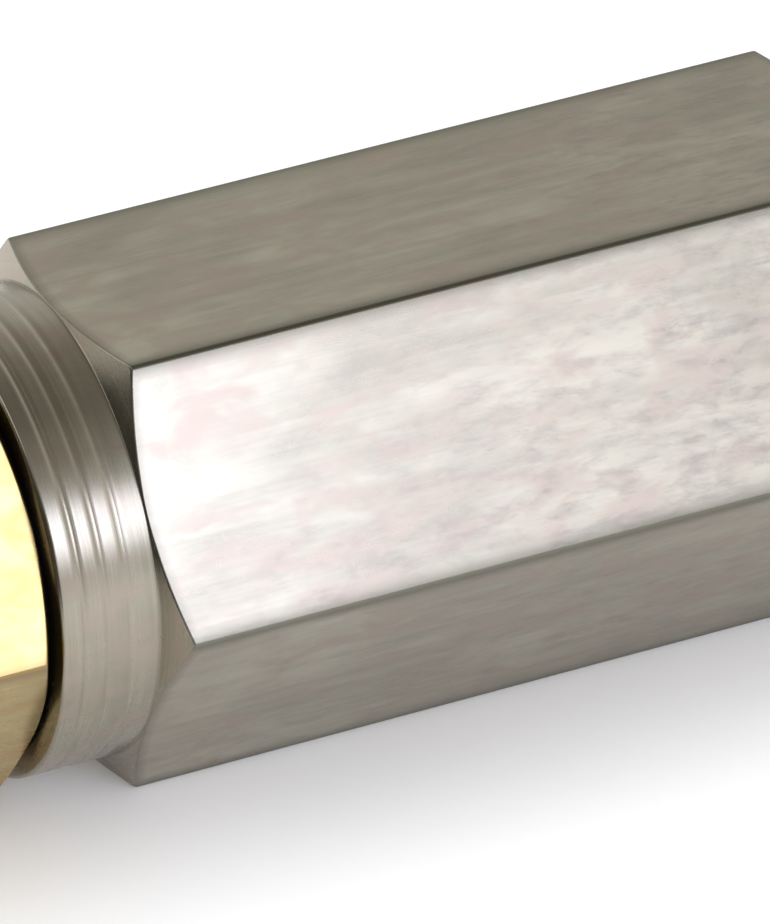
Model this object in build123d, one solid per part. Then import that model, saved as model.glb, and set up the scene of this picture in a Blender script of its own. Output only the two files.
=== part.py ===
# Carbon dioxide diffuser with a metal valve body.
#
# Gas comes in from a 6 mm tube on the left, through a brass compression inlet, a sintered filter and
# a sprung check valve inside a hexagonal steel body.  It leaves on the right through the pores of a
# ceramic tube, which a hollow rod and a dome nut clamp against a brass outlet.
#
# The part lies along X, with its gas axis level, on one flat of the steel body.  The origin is the
# middle of that flat, +X points to the ceramic tube and +Z points up.  All sizes are in millimetres.
from build123d import *
from math import cos, pi, radians, tan
import os

# steel body
body_af = 14.29  # across flats, 9/16 in bar
neck_length = 3.05  # round neck at each end, up to the start of the cone
neck_relief = 0.06  # how far the neck is turned below the flats
chamfer_angle = 27.0  # of every hexagon's end cone, from the end plane
bar_edge_round = 0.2  # on the long edges of every hexagon
edge_chamfer = 0.2  # on turned rims
groove_count = 3  # tool grooves turned in each neck
groove_first = 0.72  # from the end face to the first groove's middle
groove_pitch = 0.72
groove_width = 0.26
groove_share = 0.115  # first groove's depth, of the wall round a gasket's recess; the next are shallower

port_depth = 7.875  # threaded port at each end, from the end face
filter_pocket_depth = 2.8
filter_ledge = 0.545  # how much smaller the filter pocket is than the port, on the radius
seat_web = 1.6  # wall between the filter pocket and the valve chamber
chamber_length = 11.6
chamber_diameter = 7.4
seat_hole_diameter = 3.2
body_length = 2 * port_depth + filter_pocket_depth + seat_web + chamber_length

# port threads, shown as plain cylinders at the thread's major size
port_thread = 9.73  # 1/8 in parallel pipe thread, major diameter
port_thread_length = 7.0
thread_clearance = 0.03  # radial, between a male thread and its hole
thread_depth = 0.45  # of the lead chamfers and of the undercuts beside the hexagons
relief_width = 1.0  # undercut between a hexagon and its thread
gas_bore = 3.5

# face gaskets
gasket_width = 1.08  # radial
gasket_thickness = 0.8
gasket_gap = 0.12  # what shows between the body and a brass hexagon
slip = 0.05  # room beside a piece that drops into a recess, a groove or a bore

# brass hexagons
fitting_overhang = 0.355  # of a hexagon's flats past the gasket, which makes them 1/2 in bar
fitting_hex_length = 5.5
end_circle_step = 0.04  # how far a hexagon's round end face stays inside its flats
outlet_turn = 12.0  # degrees that the outlet stopped away from the body's flats

# tube compression inlet
tube_diameter = 6.0
tube_room = 0.1  # radial, round the tube in its socket
socket_depth = 9.5
socket_wall = 1.9  # from the socket to the compression thread's major size
inlet_thread_length = 7.0
mouth_depth = 0.85  # 45 degree mouth that the ferrule is pressed into
ferrule_wall = 0.95
ferrule_band = 1.45  # the ferrule's straight middle
ferrule_tip = 0.45  # flat left at the thin end of each of its cones
ferrule_room = 0.1  # round the ferrule, inside the nut
cone_gap = 0.07  # along X, between each cone of the ferrule and what it is pressed into
ferrule_bore_room = 0.02  # the ferrule's hole past the socket's
nut_wall = 0.94  # over the nut's thread, at the middle of a flat
nut_gap = 1.2  # bare thread between the inlet's hexagon and the tightened nut
nut_hex_length = 8.2
nut_collar_length = 2.6
nut_collar_wall = 1.55
nut_turn = 8.0  # degrees from the body's flats
nut_hole_room = 0.15  # the nut's outer hole past the socket's

# check valve
filter_thickness = 1.5
filter_dish = 0.4  # depth of the dish that faces the tube
filter_rim = 1.3  # flat left round the dish
clip_thickness = 0.55
clip_groove_width = 0.65
clip_bite = 0.3  # how far a clip's groove is cut behind its bore
clip_width = 0.8  # radial width of a clip
clip_opening = 50.0  # degrees missing from a clip's ring
clip_shoulder = 1.7  # from the outlet port to the guide clip's groove
seal_gap = 0.05  # the closed seal's distance from its seat
seal_section = 1.0
seal_ledge = 0.55  # from the edge of the seat hole to the seal's middle
seal_proud = 0.4  # how much of the seal's section stands out of the head
head_rim = 0.25  # outside the seal
head_thickness = 1.65
boss_diameter = 3.0
boss_length = 0.8
stem_diameter = 2.0
stem_tail = 1.6  # stem beyond the guide when closed
nose_length = 1.3
nose_room = 0.2
nose_tip_diameter = 1.4
guide_thickness = 1.35
guide_hole_count = 4
guide_hole_diameter = 1.1
spring_wire = 0.4
spring_room = 0.3  # between the spring and the boss that centres it
spring_turns = 5

# ceramic tube and what clamps it
ceramic_length = 28.0
ceramic_diameter = 12.0
ceramic_bore = 8.0
washer_thickness = 1.0  # silicone washer at each end of the ceramic
collar_length = 1.8  # round collar on the outlet
collar_foot = 0.4  # shallow neck between the outlet's hexagon and its collar
collar_overhang = 0.3  # how far the collar and the end cap stand past the ceramic
spigot_length = 1.6  # past each washer, into the ceramic's bore
spigot_room = 0.12
rod_diameter = 5.0
rod_bore = 2.5
rod_seat_depth = 7.5
rod_hole_diameter = 1.4
rod_hole_count = 3
rod_end_wall = 3.0  # solid rod past its bore, so gas leaves only by the cross holes
end_cap_thickness = 3.0
end_cap_round = 0.9
seal_washer_thickness = 0.6
seal_washer_width = 1.45
dome_nut_wall = 1.5  # over the rod, at the middle of a flat
dome_nut_hex_length = 4.2
dome_step = 0.3  # how far the dome stays inside the flats
dome_nut_hole = 6.3
dome_rod_room = 0.6  # between the rod's end and the bottom of the dome nut's hole

# worked out from the sizes above
axis_height = body_af / 2
neck_radius = body_af / 2 - neck_relief
left_face = -body_length / 2
right_face = body_length / 2
thread_radius = port_thread / 2
port_radius = thread_radius + thread_clearance
gasket_bore_radius = thread_radius + slip
gasket_radius = gasket_bore_radius + gasket_width
recess_radius = gasket_radius + slip
recess_depth = gasket_thickness - gasket_gap
groove_depth = groove_share * (neck_radius - recess_radius)
fitting_af = 2 * (gasket_radius + fitting_overhang)
inlet_port_floor = left_face + port_depth
outlet_port_floor = right_face - port_depth
filter_floor = inlet_port_floor + filter_pocket_depth
seat_face = filter_floor + seat_web
pocket_radius = port_radius - filter_ledge
chamber_radius = chamber_diameter / 2
clip_play = clip_groove_width - clip_thickness

filter_right = filter_floor - slip
filter_left = filter_right - filter_thickness
filter_groove = filter_left - slip - clip_groove_width
guide_groove = outlet_port_floor - clip_shoulder - clip_groove_width
guide_right = guide_groove + clip_play / 2
guide_left = guide_right - guide_thickness
seal_middle_radius = seat_hole_diameter / 2 + seal_ledge
head_radius = seal_middle_radius + seal_section / 2 + head_rim
head_front = seat_face + seal_gap + seal_proud
head_back = head_front + head_thickness
stem_radius = stem_diameter / 2
boss_radius = boss_diameter / 2
spring_radius = boss_radius + spring_room + spring_wire / 2

inlet_hex_right = left_face - gasket_gap
inlet_hex_left = inlet_hex_right - fitting_hex_length
socket_radius = tube_diameter / 2 + tube_room
inlet_thread_radius = socket_radius + socket_wall
inlet_mouth = inlet_hex_left - inlet_thread_length
mouth_radius = socket_radius + mouth_depth
socket_floor = inlet_mouth + socket_depth
ferrule_bore = socket_radius + ferrule_bore_room
ferrule_outer = socket_radius + ferrule_wall
ferrule_cone = ferrule_outer - ferrule_bore - ferrule_tip
band_right = inlet_mouth + mouth_radius - ferrule_outer - cone_gap
band_left = band_right - ferrule_band
nut_thread_radius = inlet_thread_radius + 2 * thread_clearance
nut_af = 2 * (nut_thread_radius + nut_wall)
nut_right = inlet_hex_left - nut_gap
nut_hex_left = nut_right - nut_hex_length
nut_left = nut_hex_left - nut_collar_length

outlet_hex_left = right_face + gasket_gap
outlet_hex_right = outlet_hex_left + fitting_hex_length
collar_radius = ceramic_diameter / 2 + collar_overhang
collar_face = outlet_hex_right + collar_foot + collar_length
ceramic_left = collar_face + washer_thickness
ceramic_right = ceramic_left + ceramic_length
cap_left = ceramic_right + washer_thickness
cap_right = cap_left + end_cap_thickness
spigot_radius = ceramic_bore / 2 - spigot_room
rod_radius = rod_diameter / 2
outlet_spigot_end = ceramic_left + spigot_length
cap_spigot_end = ceramic_right - spigot_length
rod_left = outlet_spigot_end - rod_seat_depth
rod_bore_end = ceramic_right - rod_end_wall
dome_nut_af = rod_diameter + 2 * dome_nut_wall
dome_nut_left = cap_right + seal_washer_thickness
dome_nut_right = dome_nut_left + dome_nut_hex_length
rod_right = dome_nut_left + dome_nut_hole - dome_rod_room


def turned(points):
    """A solid of revolution about X from an outline of (x, radius) points."""
    return revolve(make_face(Polyline(*points, close=True)), Axis.X)


def rod_x(radius, x0, x1):
    """A round bar along X."""
    return turned([(x0, 0), (x1, 0), (x1, radius), (x0, radius)])


def tube_x(outer, inner, x0, x1):
    """A round tube along X."""
    return turned([(x0, inner), (x1, inner), (x1, outer), (x0, outer)])


def cone_length(radius_low, radius_high):
    """Length along X of a hexagon's end cone between two radii."""
    return (radius_high - radius_low) * tan(radians(chamfer_angle))


def past_corners(across_flats):
    """A radius just outside a hexagon's corners."""
    return across_flats / 2 / cos(pi / 6) + end_circle_step


def hexagon_x(across_flats, x0, x1):
    """A hexagonal bar along X with a flat uppermost and its long edges rounded."""
    outline = RegularPolygon(across_flats / 2, 6, major_radius=False)
    outline = fillet(outline.vertices(), bar_edge_round)
    return Pos(x0, 0, 0) * extrude(Plane.YZ * outline, x1 - x0)


def chamfered_hexagon(across_flats, x0, x1):
    """A hexagonal bar whose corners are turned off by a cone at both ends."""
    end_radius = across_flats / 2 - end_circle_step
    beyond = past_corners(across_flats)
    cone = cone_length(end_radius, beyond)
    envelope = turned([(x0, 0), (x1, 0), (x1, end_radius), (x1 - cone, beyond),
                       (x0 + cone, beyond), (x0, end_radius)])
    return hexagon_x(across_flats, x0, x1) & envelope


def snap_ring(outer, x0, opening_at):
    """A flat ring with a gap, which faces the given angle about X."""
    ring = tube_x(outer, outer - clip_width, x0, x0 + clip_thickness)
    reach = 2 * outer
    spread = reach * tan(radians(clip_opening / 2))
    wedge = make_face(Polyline((0, 0), (reach, -spread), (reach, spread), close=True))
    cut = Pos(x0, 0, 0) * extrude(Plane.YZ * wedge, clip_thickness, both=True)
    return ring - Rot(opening_at, 0, 0) * cut


# the body and its gaskets
def neck_groove(face, inward, number):
    """One shallow groove with sloping sides, counted from an end face."""
    middle = face + inward * (groove_first + number * groove_pitch)
    depth = groove_depth * (1 - number / (groove_count + 1))
    top = neck_radius + groove_depth
    floor = neck_radius - depth
    slope = (top - floor) / 2
    half = groove_width / 2
    return turned([(middle - half - slope, top), (middle - half, floor),
                   (middle + half, floor), (middle + half + slope, top)])


def valve_body():
    """Hexagonal body with round necks, two ports, the filter pocket, the seat web and the valve chamber."""
    beyond = past_corners(body_af)
    neck_end = right_face - neck_length
    cone_end = neck_end - cone_length(neck_radius, beyond)
    right_outline = [(right_face, 0), (right_face, neck_radius - edge_chamfer),
                     (right_face - edge_chamfer, neck_radius), (neck_end, neck_radius), (cone_end, beyond)]
    left_outline = [(-x, radius) for x, radius in reversed(right_outline)]
    body = hexagon_x(body_af, left_face, right_face) & turned(right_outline + left_outline)
    for number in range(groove_count):
        body -= neck_groove(left_face, 1, number)
        body -= neck_groove(right_face, -1, number)
    body -= rod_x(recess_radius, left_face, left_face + recess_depth)
    body -= rod_x(recess_radius, right_face - recess_depth, right_face)
    body -= rod_x(port_radius, left_face, inlet_port_floor)
    body -= rod_x(port_radius, outlet_port_floor, right_face)
    body -= rod_x(pocket_radius, inlet_port_floor, filter_floor)
    body -= rod_x(seat_hole_diameter / 2, filter_floor, seat_face)
    body -= rod_x(chamber_radius, seat_face, outlet_port_floor)
    body -= rod_x(pocket_radius + clip_bite, filter_groove, filter_groove + clip_groove_width)
    body -= rod_x(chamber_radius + clip_bite, guide_groove, guide_groove + clip_groove_width)
    return body


def inlet_gasket():
    """Flat rubber ring that stands a little proud of its recess in the left end face."""
    return tube_x(gasket_radius, gasket_bore_radius, left_face - gasket_gap, left_face + recess_depth)


def outlet_gasket():
    """The same ring at the right end face."""
    return tube_x(gasket_radius, gasket_bore_radius, right_face - recess_depth, right_face + gasket_gap)


# compression inlet
def port_plug(hexagon_face, tip):
    """A male port thread as a plain bar, with a lead chamfer at its tip and an undercut at the hexagon."""
    away = 1 if tip > hexagon_face else -1
    core = thread_radius - thread_depth
    root = hexagon_face - away * edge_chamfer
    relief = hexagon_face + away * relief_width
    return turned([(root, 0), (tip, 0), (tip, core), (tip - away * thread_depth, thread_radius),
                   (relief, thread_radius), (relief, core), (root, core)])


def inlet_fitting():
    """Brass hexagon with a port thread on the right, and a compression thread and tube socket on the left."""
    tip = left_face + port_thread_length
    core = inlet_thread_radius - thread_depth
    relief = inlet_hex_left - relief_width / 2
    root = inlet_hex_left + edge_chamfer
    stub = turned([(inlet_mouth, 0), (root, 0), (root, core), (relief, core), (relief, inlet_thread_radius),
                   (inlet_mouth + thread_depth, inlet_thread_radius), (inlet_mouth, core)])
    fitting = chamfered_hexagon(fitting_af, inlet_hex_left, inlet_hex_right)
    fitting += port_plug(inlet_hex_right, tip)
    fitting += stub
    fitting -= turned([(inlet_mouth, 0), (socket_floor, 0), (socket_floor, socket_radius),
                       (inlet_mouth + mouth_depth, socket_radius), (inlet_mouth, mouth_radius)])
    return fitting - rod_x(gas_bore / 2, socket_floor, tip)


def ferrule():
    """Brass olive with a 45 degree cone at each end, one for the inlet's mouth and one for the nut."""
    return turned([(band_left - ferrule_cone, ferrule_bore), (band_right + ferrule_cone, ferrule_bore),
                   (band_right + ferrule_cone, ferrule_bore + ferrule_tip), (band_right, ferrule_outer),
                   (band_left, ferrule_outer), (band_left - ferrule_cone, ferrule_bore + ferrule_tip)])


def compression_nut():
    """Hexagonal brass nut with a turned collar, threaded inside, with a cone that closes on the ferrule."""
    hole = socket_radius + nut_hole_room
    collar = hole + nut_collar_wall
    nut = chamfered_hexagon(nut_af, nut_hex_left, nut_right)
    nut += turned([(nut_left, 0), (nut_hex_left + edge_chamfer, 0), (nut_hex_left + edge_chamfer, collar),
                   (nut_left + 2 * edge_chamfer, collar), (nut_left, collar - edge_chamfer)])
    guide = ferrule_outer + ferrule_room
    thread_left = band_left + ferrule_band / 2
    cone_right = band_left + ferrule_room - cone_gap
    cone_left = cone_right - guide + hole
    nut -= turned([(nut_left, 0), (nut_right, 0), (nut_right, nut_thread_radius + edge_chamfer),
                   (nut_right - edge_chamfer, nut_thread_radius), (thread_left, nut_thread_radius),
                   (thread_left, guide), (cone_right, guide), (cone_left, hole),
                   (nut_left + edge_chamfer, hole), (nut_left, hole + edge_chamfer)])
    return Rot(nut_turn, 0, 0) * nut


# check valve
def inlet_filter():
    """Sintered bronze disc, dished on the side that faces the tube."""
    radius = pocket_radius - slip
    return turned([(filter_left + filter_dish, 0), (filter_right, 0), (filter_right, radius),
                   (filter_left, radius), (filter_left, radius - filter_rim)])


def filter_clip():
    """Snap ring that holds the filter in its pocket."""
    return snap_ring(pocket_radius + clip_bite - slip, filter_groove + clip_play / 2, 90)


def poppet():
    """Valve head with a seal groove in its face, a pointed nose, and a stem that runs in the guide."""
    nose_radius = seat_hole_diameter / 2 - nose_room
    stem_end = guide_right + stem_tail
    boss_end = head_back + boss_length
    groove_half = (seal_section + slip) / 2
    solid = turned([
        (head_front - nose_length, 0), (stem_end, 0), (stem_end, stem_radius - edge_chamfer),
        (stem_end - edge_chamfer, stem_radius), (boss_end, stem_radius), (boss_end, boss_radius),
        (head_back, boss_radius), (head_back, head_radius), (head_front, head_radius),
        (head_front, nose_radius), (head_front - seal_proud, nose_radius),
        (head_front - nose_length, nose_tip_diameter / 2)])
    groove = tube_x(seal_middle_radius + groove_half, seal_middle_radius - groove_half,
                    head_front, head_front + seal_section - seal_proud)
    return solid - groove


def poppet_seal():
    """Rubber ring in the poppet's face groove."""
    centre = head_front - seal_proud + seal_section / 2
    section = Pos(centre, seal_middle_radius) * Circle(seal_section / 2)
    return revolve(section, Axis.X)


def valve_spring():
    """Coil spring between the poppet's head and the guide."""
    wire = spring_wire / 2
    first = head_back + slip + wire
    length = guide_left - slip - wire - first
    path = Helix(length / spring_turns, length, spring_radius)
    section = Plane(path @ 0, z_dir=path % 0) * Circle(wire)
    coil = sweep(section, path=path, is_frenet=True)
    return Pos(first, 0, 0) * Rot(0, 90, 0) * coil


def spring_guide():
    """Drilled disc that centres the stem and carries the spring."""
    disc = tube_x(chamber_radius - slip, stem_radius + slip, guide_left, guide_right)
    circle = (chamber_radius + stem_radius) / 2
    hole = Pos(0, circle, 0) * rod_x(guide_hole_diameter / 2, guide_left, guide_right)
    for number in range(guide_hole_count):
        disc -= Rot(360 / guide_hole_count * (number + 0.5), 0, 0) * hole
    return disc


def guide_clip():
    """Snap ring that the guide bears on."""
    return snap_ring(chamber_radius + clip_bite - slip, guide_right, 0)


# ceramic tube
def outlet_fitting():
    """Brass hexagon with a port thread on the left, and a collar, spigot and rod thread on the right."""
    tip = right_face - port_thread_length
    rim = collar_radius - edge_chamfer
    collar_left = outlet_hex_right + collar_foot
    root = outlet_hex_right - edge_chamfer
    end = outlet_spigot_end
    collar = turned([
        (root, 0), (end, 0), (end, spigot_radius - edge_chamfer), (end - edge_chamfer, spigot_radius),
        (collar_face, spigot_radius), (collar_face, rim), (collar_face - edge_chamfer, collar_radius),
        (collar_left + edge_chamfer, collar_radius), (collar_left, rim), (collar_left, rim - edge_chamfer),
        (root, rim - edge_chamfer)])
    hexagon = Rot(outlet_turn, 0, 0) * chamfered_hexagon(fitting_af, outlet_hex_left, outlet_hex_right)
    fitting = hexagon + port_plug(outlet_hex_left, tip) + collar
    fitting -= rod_x(rod_radius + thread_clearance, rod_left, outlet_spigot_end)
    return fitting - rod_x(gas_bore / 2, tip, rod_left)


def gas_rod():
    """Hollow steel rod with cross holes, closed towards the dome nut."""
    end = rod_radius - thread_depth
    rod = turned([(rod_left, 0), (rod_right, 0), (rod_right, end), (rod_right - thread_depth, rod_radius),
                  (rod_left + thread_depth, rod_radius), (rod_left, end)])
    rod -= rod_x(rod_bore / 2, rod_left, rod_bore_end)
    step = (rod_bore_end - outlet_spigot_end) / (rod_hole_count + 1)
    for number in range(rod_hole_count):
        cross_hole = Rot(90 * number, 0, 0) * Cylinder(rod_hole_diameter / 2, 2 * rod_diameter)
        rod -= Pos(outlet_spigot_end + step * (number + 1), 0, 0) * cross_hole
    return rod


def ceramic_washer(x0):
    """Soft silicone washer under one end of the ceramic."""
    return tube_x(ceramic_diameter / 2, spigot_radius + slip, x0, x0 + washer_thickness)


def ceramic_tube():
    """Porous tube that the gas leaves through."""
    outer = ceramic_diameter / 2
    inner = ceramic_bore / 2
    return turned([(ceramic_left, inner), (ceramic_right, inner), (ceramic_right, outer - edge_chamfer),
                   (ceramic_right - edge_chamfer, outer), (ceramic_left + edge_chamfer, outer),
                   (ceramic_left, outer - edge_chamfer)])


def end_cap():
    """Turned steel cap with a spigot into the ceramic and a hole for the rod."""
    disc = rod_x(collar_radius, cap_left, cap_right)
    disc = fillet(disc.edges().filter_by(GeomType.CIRCLE).sort_by(Axis.X)[-1], end_cap_round)
    root = cap_left + edge_chamfer
    end = cap_spigot_end
    spigot = turned([(end, 0), (root, 0), (root, spigot_radius),
                     (end + edge_chamfer, spigot_radius), (end, spigot_radius - edge_chamfer)])
    return disc + spigot - rod_x(rod_radius + slip, end, cap_right)


def seal_washer():
    """Fibre washer that seals the rod under the dome nut."""
    return tube_x(rod_radius + seal_washer_width, rod_radius + slip, cap_right, dome_nut_left)


def dome_nut():
    """Brass dome nut that closes the rod's far end."""
    radius = dome_nut_af / 2 - dome_step
    hexagon = Rot(outlet_turn, 0, 0) * chamfered_hexagon(dome_nut_af, dome_nut_left, dome_nut_right)
    nut = hexagon + Pos(dome_nut_right, 0, 0) * Sphere(radius)
    return nut - rod_x(rod_radius + thread_clearance, dome_nut_left, dome_nut_left + dome_nut_hole)


parts = {
    "valve_body": valve_body(),
    "inlet_gasket": inlet_gasket(),
    "inlet_fitting": inlet_fitting(),
    "ferrule": ferrule(),
    "compression_nut": compression_nut(),
    "inlet_filter": inlet_filter(),
    "filter_clip": filter_clip(),
    "poppet": poppet(),
    "poppet_seal": poppet_seal(),
    "valve_spring": valve_spring(),
    "spring_guide": spring_guide(),
    "guide_clip": guide_clip(),
    "outlet_gasket": outlet_gasket(),
    "outlet_fitting": outlet_fitting(),
    "gas_rod": gas_rod(),
    "inner_washer": ceramic_washer(collar_face),
    "ceramic_tube": ceramic_tube(),
    "outer_washer": ceramic_washer(ceramic_right),
    "end_cap": end_cap(),
    "seal_washer": seal_washer(),
    "dome_nut": dome_nut(),
}

os.makedirs("parts", exist_ok=True)
for name, shape in parts.items():
    export_step(Pos(0, 0, axis_height) * shape, f"parts/{name}.step")
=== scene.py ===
from math import atan, ceil, cos, pi, radians, sin, tan
import bpy
import numpy as np
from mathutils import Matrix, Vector


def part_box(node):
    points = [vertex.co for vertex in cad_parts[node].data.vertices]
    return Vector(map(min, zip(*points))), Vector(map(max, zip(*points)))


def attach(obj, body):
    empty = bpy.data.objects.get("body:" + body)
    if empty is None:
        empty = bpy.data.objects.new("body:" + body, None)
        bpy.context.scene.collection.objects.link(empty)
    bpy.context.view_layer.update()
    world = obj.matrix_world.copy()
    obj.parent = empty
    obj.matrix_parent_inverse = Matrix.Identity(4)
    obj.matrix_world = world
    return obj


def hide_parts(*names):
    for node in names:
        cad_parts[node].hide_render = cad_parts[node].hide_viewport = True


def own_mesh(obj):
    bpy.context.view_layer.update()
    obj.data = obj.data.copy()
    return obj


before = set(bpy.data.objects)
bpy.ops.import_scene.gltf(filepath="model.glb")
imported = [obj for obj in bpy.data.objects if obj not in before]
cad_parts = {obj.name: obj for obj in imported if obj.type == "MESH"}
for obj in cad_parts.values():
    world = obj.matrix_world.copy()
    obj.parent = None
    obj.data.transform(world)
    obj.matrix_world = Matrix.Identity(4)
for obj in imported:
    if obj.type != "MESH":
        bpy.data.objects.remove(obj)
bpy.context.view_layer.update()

mm = 0.001
print("frame loaded,", len(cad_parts), "nodes")


def inScene(name, data):
    made = bpy.data.objects.new(name, data)
    bpy.context.collection.objects.link(made)
    return made


def place(node):
    # lowest and highest corner of a CAD node, in millimetres
    low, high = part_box(node)
    return np.array(low) / mm, np.array(high) / mm


bodyLow, bodyHigh = place("valve_body")
axisHeight = (bodyLow[2] + bodyHigh[2]) / 2
hexAcross = bodyHigh[2] - bodyLow[2]


# shapes: an outline of (x, radius) corners carried round the gas axis

def hexagonAngles(edgeRound, across, perFlat=44, perEdge=6):
    # columns round a hexagon: even along each flat, closer together on each rounded edge
    reach = atan((across / 2 - edgeRound) * tan(pi / 6) / (across / 2))
    flat = np.linspace(-reach, reach, perFlat)
    edge = np.linspace(reach, pi / 3 - reach, perEdge + 2)[1:-1]
    side = np.concatenate([flat, edge])
    return np.concatenate([pi / 2 + side + k * pi / 3 for k in range(6)])


def hexagonRadius(angle, across, edgeRound, turn=0.0):
    # distance from the axis to a hexagon with rounded edges: half the width over the cosine on a flat,
    # and the far side of a small circle near an edge
    off = (angle - pi / 2 - radians(turn) + pi / 6) % (pi / 3) - pi / 6
    half = across / 2
    centre = (half - edgeRound) / cos(pi / 6)
    fromEdge = pi / 6 - np.abs(off)
    inside = np.maximum(edgeRound ** 2 - (centre * np.sin(fromEdge)) ** 2, 0)
    arc = centre * np.cos(fromEdge) + np.sqrt(inside)
    reach = atan((half - edgeRound) * tan(pi / 6) / half)
    return np.where(np.abs(off) < reach, half / np.cos(off), arc)


def outlineRows(corners, columns, soft=0.06, step=1.5, loop=True, cornerRows=4, fine={}):
    # rows of a surface: each corner of the outline becomes a parabola that starts and ends a set distance
    # from it, and the straight runs between are divided evenly. A corner is (x, radius, softness), and each
    # may differ from column to column. fine gives a smaller step for the run after a corner
    places = np.array([[np.broadcast_to(c[0], columns), np.broadcast_to(c[1], columns)] for c in corners])
    softs = [c[2] if len(c) > 2 else soft for c in corners]
    count = len(corners)
    rows, stretch = [], []
    cuts = []
    for k in range(count):
        here = places[k]
        if not loop and k in (0, count - 1):
            cuts.append((here, here, [here]))
            continue
        back, ahead = places[k - 1] - here, places[(k + 1) % count] - here
        backLength = np.maximum(np.hypot(back[0], back[1]), 1e-9)
        aheadLength = np.maximum(np.hypot(ahead[0], ahead[1]), 1e-9)
        reach = np.minimum(softs[k], 0.42 * np.minimum(backLength, aheadLength))
        first, last = here + back / backLength * reach, here + ahead / aheadLength * reach
        share = np.linspace(0, 1, cornerRows)[:, None, None]
        curve = (1 - share) ** 2 * first + 2 * share * (1 - share) * here + share ** 2 * last
        cuts.append((first, last, list(curve)))
    for k in range(count if loop else count - 1):
        rows += cuts[k][2]
        stretch += [k - 0.5] * len(cuts[k][2])
        start, end = cuts[k][1], cuts[(k + 1) % count][0]
        length = float(np.hypot(*(end - start)).max())
        pieces = max(int(ceil(length / fine.get(k, step))), 1)
        margin = min(0.02, 0.3 / pieces)
        shares = [margin, *np.arange(1, pieces) / pieces, 1 - margin]
        rows += [start + (end - start) * s for s in shares]
        stretch += [float(k)] * len(shares)
    if not loop:
        rows += cuts[-1][2]
        stretch += [count - 1.5]
    rows = np.array(rows)
    return rows[:, 0], rows[:, 1], np.array(stretch)


def smoothStep(value):
    share = np.clip(value, 0, 1)
    return share * share * (3 - 2 * share)


def latticeNoise(u, v, seed, wrap):
    # random heights on a lattice, blended with smooth weights. v repeats after wrap cells, so it closes
    # round a piece
    heights = np.random.default_rng(seed).random((4096, wrap)) * 2 - 1
    cellU, cellV = np.floor(u).astype(int), np.floor(v).astype(int)
    shareU, shareV = smoothStep(u - cellU), smoothStep(v - cellV)
    rowA, rowB = cellU % 4096, (cellU + 1) % 4096
    columnA, columnB = cellV % wrap, (cellV + 1) % wrap
    low = heights[rowA, columnA] * (1 - shareV) + heights[rowA, columnB] * shareV
    high = heights[rowB, columnA] * (1 - shareV) + heights[rowB, columnB] * shareV
    return low * (1 - shareU) + high * shareU


def gridPiece(name, grid, marks, loop=True):
    # one vertex for each row and column of the grid of points. The last column joins the first, and the
    # last row joins the first or both end rows shrink to a pole
    rows, columns = grid.shape[:2]
    points = grid.reshape(-1, 3)
    i, j = np.arange(rows if loop else rows - 1)[:, None], np.arange(columns)[None, :]
    down, right = (i + 1) % rows, (j + 1) % columns
    index = np.arange(rows * columns).reshape(rows, columns)
    if not loop:
        index[0], index[-1] = index[0, 0], index[-1, 0]
    quads = np.stack([index[i, j], index[down, j], index[down, right], index[i, right]], axis=-1)
    quads = quads.reshape(-1, 4)
    a, b, c, d = (points[quads[:, k]] for k in range(4))
    cross = np.cross(c - a, d - b) / 2
    if np.einsum("ij,ij->", (a + b + c + d) / 4, cross) < 0:
        quads, cross = quads[:, ::-1], -cross
    normals = np.zeros_like(points)
    for k in range(4):
        np.add.at(normals, quads[:, k], cross)
    used = np.unique(quads)
    fresh = np.zeros(len(points), int)
    fresh[used] = np.arange(len(used))
    keep = quads != np.roll(quads, 1, axis=1)
    mesh = bpy.data.meshes.new(name)
    mesh.vertices.add(len(used))
    mesh.vertices.foreach_set("co", (points[used] * mm).ravel())
    loops = fresh[quads[keep]]
    mesh.loops.add(len(loops))
    mesh.loops.foreach_set("vertex_index", loops)
    mesh.polygons.add(len(quads))
    mesh.polygons.foreach_set("loop_start", np.concatenate([[0], np.cumsum(keep.sum(1))[:-1]]))
    mesh.polygons.foreach_set("use_smooth", np.ones(len(quads), bool))
    for label, values in marks.items():
        layer = mesh.attributes.new(label, "FLOAT", "POINT")
        values = np.broadcast_to(values, (rows, columns)).reshape(-1)[used]
        layer.data.foreach_set("value", values.astype(float))
    mesh.update(calc_edges=True)
    mesh.validate()
    unit = normals[used] / np.maximum(np.linalg.norm(normals[used], axis=1, keepdims=True), 1e-12)
    mesh.normals_split_custom_set_from_vertices(unit)
    return inScene(name, mesh)


def wrapSurface(name, x, radius, angle, marks, loop=True):
    # a surface round the gas axis: each point is at (x, radius cos angle, radius sin angle)
    grid = np.stack([x, radius * np.cos(angle), axisHeight + radius * np.sin(angle)], axis=-1)
    return gridPiece(name, grid, marks, loop)


def roundAngles(count):
    return np.linspace(0, 2 * pi, count, endpoint=False)


def edgeShadeMark(angle, turn=0.0):
    # 1 on a hexagon's long edges, falling off to 0 on both sides. A mask for painted shade: the edges are
    # darkened to stand for the dark reflections along their rounding
    off = np.abs((angle - pi / 2 - radians(turn) + pi / 6) % (pi / 3) - pi / 6)
    return np.exp(-((pi / 6 - off) / 0.035) ** 2)


def threaded(x, radius, angle, stretch, run, pitch, depth, start, end):
    # a screw thread on one run of an outline: the radius falls from crest to root and back once for each
    # pitch along the axis and once for each turn round it, and fades in and out at both ends
    phase = (x / pitch + angle / (2 * pi)) % 1
    valley = 1 - smoothStep((np.abs(2 * phase - 1) - 0.12) / 0.76)
    fade = smoothStep((x - start) / (0.7 * pitch)) * smoothStep((end - x) / (0.7 * pitch))
    return np.where((stretch == run)[:, None], radius - depth * valley * fade, radius)


def endCone(radius, faceRadius):
    # how far from an end face the corners of a hexagon are turned off, column by column
    return (radius - faceRadius) * tan(radians(coneAngle))


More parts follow.
